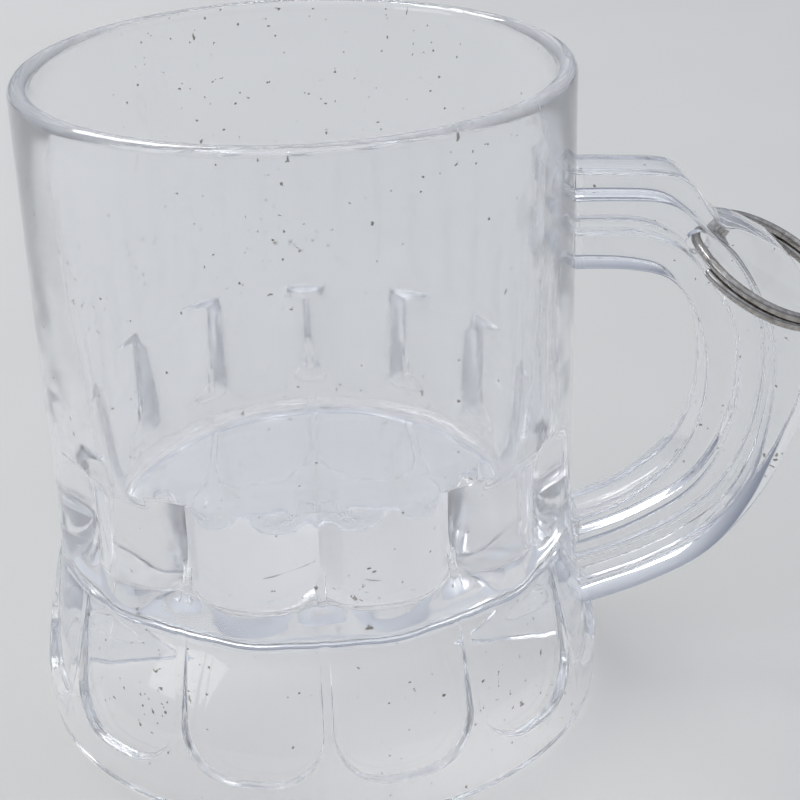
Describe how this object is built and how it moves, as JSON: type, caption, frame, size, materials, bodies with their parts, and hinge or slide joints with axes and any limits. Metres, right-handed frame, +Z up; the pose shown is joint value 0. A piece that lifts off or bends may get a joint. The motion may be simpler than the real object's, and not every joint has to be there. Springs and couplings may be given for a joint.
{
  "type": "miniature clear mug with key ring",
  "caption": "Miniature clear plastic beer mug with a panelled body, flared foot and loop handle, and a small metal split ring in the handle's web.",
  "frame": {"origin": "centre of the foot's underside, on the surface that the mug stands on", "axes": "+Z up along the mug's axis, +X from the axis towards the handle, +Y away from the viewer of the front"},
  "size_m": [0.0687, 0.048, 0.0549],
  "materials": {
    "clear_plastic": "clear glossy polystyrene, faintly hazy with fine scratches",
    "plated_steel": "nickel plated spring wire, worn"
  },
  "bodies": {
    "mug": {"cup": "clear_plastic", "handle": "clear_plastic"},
    "ring": {"split_ring": "plated_steel"}
  },
  "joints": [
    {"name": "ring_swing", "type": "hinge", "parent": "mug", "child": "ring", "pos_m": [0.0322, 0, 0.03855], "axis": [0, 1, 0], "range_deg": [-140, 3]}
  ]
}
